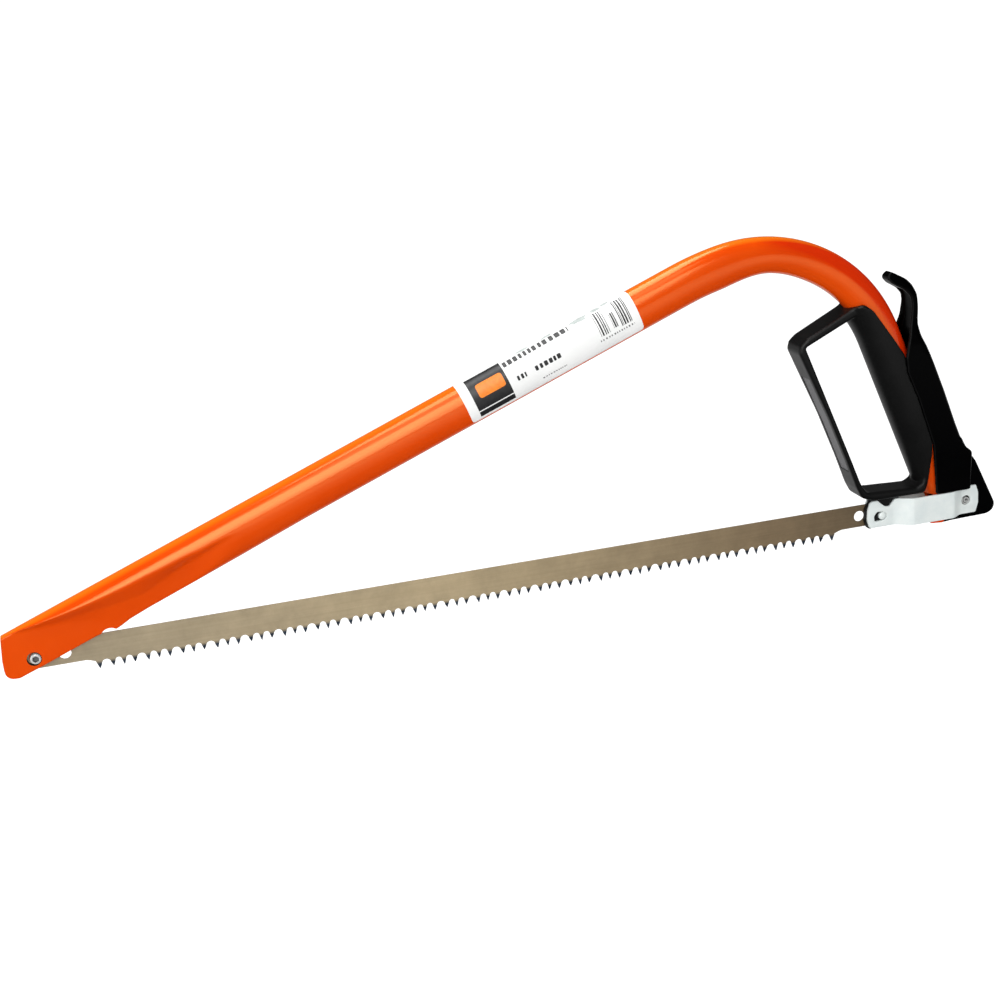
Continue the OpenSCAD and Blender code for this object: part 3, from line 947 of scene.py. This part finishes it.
def make_lever_pin(mat):
    """Coiled spring pin: a strip rolled up in one and a half turns."""
    turns, wall, core, half, rim, steps = 1.5, 0.85, 1.05, 7.8, 0.12, 120
    inner, outer = [], []
    for k in range(steps + 1):
        a = 2 * math.pi * turns * k / steps + 0.6
        r = core + (CRANK_R - core) * k / steps
        outer.append((CRANK[0] + r * math.cos(a), CRANK[1] - r * math.sin(a)))
        inner.append((CRANK[0] + (r - wall) * math.cos(a), CRANK[1] - (r - wall) * math.sin(a)))
    rings = []
    for o, i in zip(outer, inner):
        m = tuple((np.array(o) + np.array(i)) / 2)
        e = half - rim
        rings.append([(o[0], -e, o[1]), (m[0], -half, m[1]), (i[0], -e, i[1]),
                      (i[0], e, i[1]), (m[0], half, m[1]), (o[0], e, o[1])])
    ob = loft("lever_pin_coil", rings)
    finish_piece(ob, "links", mat, ("lever_pin",), 50)


# ---- blade ----
def tooth_centres():
    """Teeth in groups of three, with a single one before the first group and after the last."""
    first, pitch, small, groups = 47.57, 19.783, 6.0, 23
    gap = pitch - 2 * small
    xs = [first - small - gap]
    for i in range(groups):
        xs += [first + i * pitch - small, first + i * pitch, first + i * pitch + small]
    xs.append(first + groups * pitch - small)
    return xs


def blade_outline(xs):
    """Back, round heel, teeth from the last to the first, and the toe end."""
    back, belly, root, tip, point = 7.84, -6.9, -8.2, -13.1, 0.2
    line = [(-15, back)]
    mid, end_r = (back + belly) / 2, 7.37
    for k in range(13):
        a = math.radians(90 - 15 * k)
        line.append((SPAN + end_r * math.cos(a), mid + end_r * math.sin(a)))
    last = xs[-1]
    line += [(last + 7, belly), (last + 4.6, -7.5), (last + 2.0, root - 0.3), (last + point, tip)]
    for b, a in zip(reversed(xs[1:]), reversed(xs[:-1])):
        half = (b - a) / 2
        mid_x = (a + b) / 2
        r = 1.85 if half < 3.5 else 2.6
        line.append((b - point, tip))
        for k in range(9):
            t = math.radians(180 * k / 8)
            line.append((mid_x + r * math.cos(t), root - r + r * math.sin(t)))
        line.append((a + point, tip))
    x = xs[0]
    line += [(x - point, tip), (x - 2.0, root - 0.3), (x - 4.6, -7.5), (x - 7, belly), (-12, belly),
             (-16, -3), (-16, 6.8)]
    return line


BLADE_HALF = 0.35
SET_FROM = -9.2  # below this height the teeth lean out and grow thinner
TOOTH_SET = 0.42


def make_blade(mat):
    """Flat blade with holes; its teeth lean out to one side and the other in turn."""
    xs = tooth_centres()
    loops = [blade_outline(xs), disc((0, 0), TOE_HOLE_R), disc(HEEL_HOLE, HEEL_HOLE_R)]
    loops += [disc(h, SPARE_HOLE_R) for h in SPARE_HOLES]
    ob = sheet("saw_blade_skin", loops, BLADE_HALF, 0.0)
    arr = np.array(xs)

    def set_teeth(x, z):
        depth = smooth((SET_FROM - z) / 3.6)
        i = int(np.abs(arr - x).argmin())
        return depth * (TOOTH_SET if i % 2 else -TOOTH_SET)

    shift_y(ob, set_teeth)
    for v in ob.data.vertices:
        depth = smooth((SET_FROM - v.co.z / MM) / 3.9)
        base = set_teeth(v.co.x / MM, v.co.z / MM) * MM
        v.co.y = base + (v.co.y - base) * (1 - 0.6 * depth)
    finish_piece(ob, "blade", mat, ("saw_blade",), 30)


# ---- toe screw ----
def make_toe_screw(mat, hollow_shade):
    """Socket head screw; its plain barrel carries the toe end of the blade."""
    c, key_r = (0.0, 0.0), 2.0
    prof = [(0, -3.5), (1.6, -3.5), (2.7, -3.5), (3.0, -3.2), (3.1, -2.9), (3.1, -0.6), (2.5, -0.5),
            (2.5, 8.2), (2.1, 8.6), (0, 8.6)]
    ob = lathe("toe_screw_turned", c, prof, 48)
    hexa = [tuple(key_r * unit(math.radians(60 * k + 20))) for k in range(6)]
    key = prism("key", hexa, 1.5)
    shift_y(key, lambda x, z: -2.6)
    boolean(ob, key)
    finish_piece(ob, "frame", mat, ("toe_screw",))
    # painted shade on the walls and floor of the hex socket
    paint_hollow_shade(ob, c, 2.1, -3.45, -0.9, hollow_shade)


# ---- label ----
def wrap_table():
    """Arc length round the near side of the run, from the label's lower edge, to (y, v)."""
    pts = []
    for k in range(400):
        a = math.radians(-90 + 200 * k / 399)
        v = rounded(RUN_H / 2, math.sin(a), 2 / TUBE_POWER)
        y = -rounded(TUBE_W / 2, math.cos(a), 2 / TUBE_POWER)
        if v >= LABEL_LOW or a > 0:
            pts.append((y, v))
    pts = np.array(pts)
    step = np.linalg.norm(np.diff(pts, axis=0), axis=1)
    return np.concatenate(([0], np.cumsum(step))), pts


WRAP_S, WRAP_P = wrap_table()
WRAP_TOP = float(WRAP_S[-1])


def wrap_point(t, a, lift):
    """Place on the run: t back from the bend, a up round the near flank, lift off the paint."""
    y = float(np.interp(a, WRAP_S, WRAP_P[:, 0]))
    v = float(np.interp(a, WRAP_S, WRAP_P[:, 1]))
    n = np.array((y / (TUBE_W / 2) ** 2, v / (RUN_H / 2) ** 2))
    n /= np.linalg.norm(n)
    y, v = y + n[0] * lift, v + n[1] * lift
    out = unit(math.pi / 2 + RUN_SLOPE)
    c = RUN_END + out * (RUN_EDGE - RUN_H / 2) - unit(RUN_SLOPE) * t
    q = c + out * v
    return (q[0], y, q[1])


WRAP_STEP = 0.7
FILM_T = 0.1
INK_LIFT = 0.14
INK_T = 0.03
BADGE_LIFT = 0.18


def wrapped(name, shapes, lift=INK_LIFT, thick=INK_T):
    """Thin printed shapes, as (t, a) outlines, laid on the tube."""
    bm = bmesh.new()
    for loop in shapes:
        vs = [bm.verts.new((t, a, 0)) for t, a in loop]
        bm.faces.new(vs)
    low = min(a for loop in shapes for t, a in loop)
    top = max(a for loop in shapes for t, a in loop)
    k = low
    while k < top:
        k += WRAP_STEP
        geom = bm.verts[:] + bm.edges[:] + bm.faces[:]
        bmesh.ops.bisect_plane(bm, geom=geom, plane_co=(0, k, 0), plane_no=(0, 1, 0))
    made = bmesh.ops.extrude_face_region(bm, geom=bm.faces[:])
    upper = {v for v in made["geom"] if isinstance(v, bmesh.types.BMVert)}
    for v in bm.verts:
        z = lift + (thick if v in upper else 0.0)
        v.co = Vector(wrap_point(v.co.x, v.co.y, z)) * MM
    bmesh.ops.recalc_face_normals(bm, faces=bm.faces)
    return in_order(name, bm)


def box_loop(t0, t1, a0, a1, r=0.0):
    loop = [(t0, a0), (t1, a0), (t1, a1), (t0, a1)]
    return fillet(loop, r, 4) if r else loop


def printed_bars(rng, t0, t1, a0, a1):
    """Random upright bars, as on any price code."""
    bars = []
    t = t0
    while t < t1:
        w = rng.choice((0.3, 0.45, 0.6, 0.95))
        bars.append(box_loop(t, min(t + w, t1), a0, a1))
        t += w + rng.choice((0.45, 0.6, 0.9))
    return bars


def printed_row(rng, t0, t1, a0, height, run, gap, lean=0.0):
    """Row of plain dashes that stands for a line of print."""
    row = []
    t = t1
    while t > t0:
        w = run * rng.uniform(0.7, 1.3)
        loop = box_loop(max(t - w, t0), t, a0, a0 + height, height * 0.2)
        row.append([(p, q + (t1 - p) * lean) for p, q in loop])
        t -= w + gap * rng.uniform(0.8, 1.6)
    return row


def torn_patch(rng, t, a, width, height):
    """Ragged scrap where the top layer of the film is torn off."""
    loop = []
    for k in range(14):
        turn = 2 * math.pi * k / 14
        r = rng.uniform(0.7, 1.15)
        loop.append((t + width / 2 * r * math.cos(turn), a + height * r * math.sin(turn)))
    return loop


def make_label(film, ink, accent, grey, paper):
    rng = random.Random(7)
    base = wrapped("label_film_wrap", [box_loop(LABEL_FROM, LABEL_TO, 0, WRAP_TOP, 2.6)],
                   0.03, FILM_T)
    finish_piece(base, "frame", film, ("frame_label",))
    blocks = [box_loop(118.2, 141.5, 6.1, 27.5, 0.2), box_loop(118.2, 141.5, 2.0, 5.4, 0.2)]
    block = wrapped("label_ink_block", blocks)
    finish_piece(block, "frame", ink, ("label_code_patch",))
    rows = printed_row(rng, 73, 117, 21.8, 3.6, 2.5, 1.1, 0.02)
    rows += printed_row(rng, 84, 101, 11.0, 3.0, 2.1, 0.9)
    rows += printed_row(rng, 107, 113, 11.0, 3.0, 1.6, 0.9)
    rows += printed_bars(rng, 36.6, 43.4, 9.6, 26)
    rows += printed_bars(rng, 45.6, 48.4, 10.8, 20) + printed_bars(rng, 51.4, 57.4, 9.8, 25)
    code = wrapped("label_print_rows", rows)
    finish_piece(code, "frame", ink)
    fine = printed_row(rng, 83, 99, 4.6, 0.7, 1.0, 0.5)
    fine += printed_row(rng, 36, 59, 7.0, 1.1, 0.8, 0.8)
    fine = wrapped("label_fine_rows", fine)
    finish_piece(fine, "frame", grey)
    places = ((102, 27.0, 9, 1.3), (86, 27.6, 8, 1.2), (65, 26.4, 13, 2.4), (53, 27.2, 6, 1.8),
              (46, 28.2, 6, 1.2))
    scuffs = [torn_patch(rng, *place) for place in places]
    torn = wrapped("label_torn_patches", scuffs, INK_LIFT, 0.02)
    finish_piece(torn, "frame", paper)
    badge = wrapped("label_badge", [box_loop(120.2, 137.4, 12.6, 21.0, 1.8)], BADGE_LIFT)
    finish_piece(badge, "frame", accent)


# ---- pieces shown from the CAD ----
def dress_frame_nodes(steel):
    """Small hardware that is shown as it comes from the CAD."""
    for name in ("toe_washer", "toe_nut", "grip_screws", "fulcrum_pin"):
        ob = frame["nodes"][name]
        ob.data.materials.clear()
        ob.data.materials.append(steel)


# ---- studio ----
def make_camera():
    """Camera from the fitted turn (radians) and shift (millimetres) of the bow plane."""
    rx, ry, rz = 0.34049, -0.24348, -0.15636
    shift = np.array((-262.232, 88.773, 847.212))
    cx, sx, cy, sy = math.cos(rx), math.sin(rx), math.cos(ry), math.sin(ry)
    cz, sz = math.cos(rz), math.sin(rz)
    turn = (np.array(((cz, -sz, 0), (sz, cz, 0), (0, 0, 1)))
            @ np.array(((cy, 0, sy), (0, 1, 0), (-sy, 0, cy)))
            @ np.array(((1, 0, 0), (0, cx, -sx), (0, sx, cx))))
    m = turn @ np.diag((1.0, -1.0, 1.0))
    c = -m.T @ shift
    axes = [Vector((r[0], r[2], r[1])) for r in m]
    cam = bpy.data.cameras.new("view")
    cam.sensor_width = 36
    cam.lens = 54
    cam.clip_start = 0.01
    cam.clip_end = 50
    ob = bpy.data.objects.new("view", cam)
    scene.collection.objects.link(ob)
    rot = Matrix((axes[0], -axes[1], -axes[2])).transposed().to_4x4()
    ob.matrix_world = Matrix.Translation(TOE + Vector((c[0], c[2], c[1])) * MM) @ rot
    scene.camera = ob


def ray_tone(nt, seen, bounced, mirrored):
    """Tone for what the camera sees, for bounced light and for reflections; numbers or sockets."""
    lp = nt.nodes.new("ShaderNodeLightPath")
    pick = [v if not isinstance(v, float) else (v,) * 3 for v in (seen, bounced, mirrored)]
    tone = mix(nt, lp.outputs["Is Glossy Ray"], pick[1], pick[2])
    return mix(nt, lp.outputs["Is Camera Ray"], tone, pick[0])


def make_backdrop():
    """Floor that curves up into a back wall, far wider than the view."""
    low = cad_box[0].z / MM - BLADE_SWING_ROOM
    near, far, cove, wall, left, right, steps = -3500, 2200, 900, 3500, -4000, 4600, 12
    prof = [(near, low), (far, low)]
    for k in range(1, steps + 1):
        a = math.radians(90 * k / steps)
        prof.append((far + cove * math.sin(a), low + cove * (1 - math.cos(a))))
    prof.append((far + cove, low + wall))
    verts, faces = [], []
    for y, z in prof:
        verts += [(left, y, z), (right, y, z)]
    for i in range(len(prof) - 1):
        faces.append((2 * i, 2 * i + 1, 2 * i + 3, 2 * i + 2))
    ob = mesh_object("backdrop", verts, faces)
    ob.data.materials.append(mat_backdrop())
    shade(ob, 60)


def compute(nt, operation, a, b):
    m = nt.nodes.new("ShaderNodeMath")
    m.operation = operation
    nt.links.new(a, m.inputs[0])
    nt.links.new(b, m.inputs[1])
    return m.outputs["Value"]


def mat_backdrop():
    """Pale paper; in reflections the floor is bright behind the saw and well in front of it."""
    m, nt, b = new_material("backdrop_pale")
    tc = nt.nodes.new("ShaderNodeTexCoord")
    sp = nt.nodes.new("ShaderNodeSeparateXYZ")
    nt.links.new(tc.outputs["Object"], sp.inputs[0])
    behind = fade(nt, sp.outputs["Y"], 0.0, 0.15, 0.01, 0.35)
    low = fade(nt, sp.outputs["Z"], 0.0, 0.6, 1.0, 0.1)
    front = fade(nt, sp.outputs["Y"], -0.35, -1.1, 0.0, 0.4)
    mirrored = compute(nt, "ADD", compute(nt, "MULTIPLY", behind, low), front)
    nt.links.new(ray_tone(nt, 0.3, 0.5, mirrored), b.inputs["Base Color"])
    nt.links.new(ray_tone(nt, 0.9, 0.05, mirrored), b.inputs["Emission Color"])
    b.inputs["Emission Strength"].default_value = 1.0
    b.inputs["Roughness"].default_value = 0.9
    b.inputs["Specular IOR Level"].default_value = 0.1
    return m


def area_light(name, place, target, size, power, tall=None):
    li = bpy.data.lights.new(name, "AREA")
    li.shape = "RECTANGLE"
    li.size = size
    li.size_y = tall or size
    li.energy = power
    ob = bpy.data.objects.new(name, li)
    scene.collection.objects.link(ob)
    ob.location = place
    aim = Vector(target) - Vector(place)
    ob.rotation_euler = aim.to_track_quat("-Z", "Y").to_euler()
    return ob


def make_lights():
    mid = TOE + Vector((0.3, 0.0, 0.08))
    area_light("top", mid + Vector((-0.15, 0.08, 1.4)), mid, 1.5, 14, 0.6)
    area_light("left", mid + Vector((-1.6, -0.35, 0.35)), mid, 1.3, 11)
    area_light("front", mid + Vector((-0.4, -2.1, 0.72)), mid, 1.8, 28, 1.55)
    rear = area_light("rear", mid + Vector((0.3, 2.0, 1.0)), mid, 1.8, 9)
    rear.visible_glossy = False
    sheen = area_light("sheen", mid + Vector((-0.3, -1.15, 0.95)), mid, 0.8, 6.5, 1.7)
    sheen.visible_diffuse = False
    world = bpy.data.worlds.new("studio")
    world.use_nodes = True
    nt = world.node_tree
    nt.links.new(ray_tone(nt, 1.0, 0.46, 0.02), nt.nodes["Background"].inputs["Color"])
    nt.nodes["Background"].inputs["Strength"].default_value = 1.0
    scene.world = world
    scene.view_settings.view_transform = "Standard"


def build():
    orange = mat_orange()
    guard = mat_black("black_guard", (0.004, 0.004, 0.004), 0.34, 1500, 0.22, 0.006)
    panel = mat_black("black_panel", (0.10, 0.10, 0.105), 0.5, 700, 0.7, 0.16)
    lever = mat_black("black_lever", (0.0005, 0.0005, 0.0006), 0.3, 1800, 0.05, 0.03)
    # black plastic of the heel spacer, also used as painted shade on the screw seat's wall
    insert_and_seat_shade = mat_black("black_insert", (0.003, 0.003, 0.003), 0.5, 900, 0.25, 0.01)
    zinc = mat_zinc()
    steel = mat_steel("bright_steel", (0.66, 0.66, 0.65), 0.3, 0.4)
    spring = mat_steel("spring_steel", (0.55, 0.56, 0.55), 0.36, 0.35)
    make_tube(orange, insert_and_seat_shade)
    make_guard(guard, panel)
    make_lever(lever)
    make_plate(-1, zinc)
    make_plate(1, zinc)
    make_spacer(insert_and_seat_shade)
    make_blade_pin(zinc)
    make_lever_pin(spring)
    make_blade(mat_blade())
    # the dark steel in the screw's socket is painted shade
    make_toe_screw(steel, mat_steel("socket_painted_shade", (0.16, 0.16, 0.16), 0.4, 0.4))
    make_label(mat_film(), mat_print("label_ink", (0.012, 0.012, 0.013)),
               mat_print("label_accent", (0.80, 0.20, 0.004)), mat_print("label_grey", (0.16, 0.16, 0.16)),
               mat_print("label_paper", (0.42, 0.46, 0.445), 0.6))
    dress_frame_nodes(steel)


build()
make_camera()
make_lights()
make_backdrop()
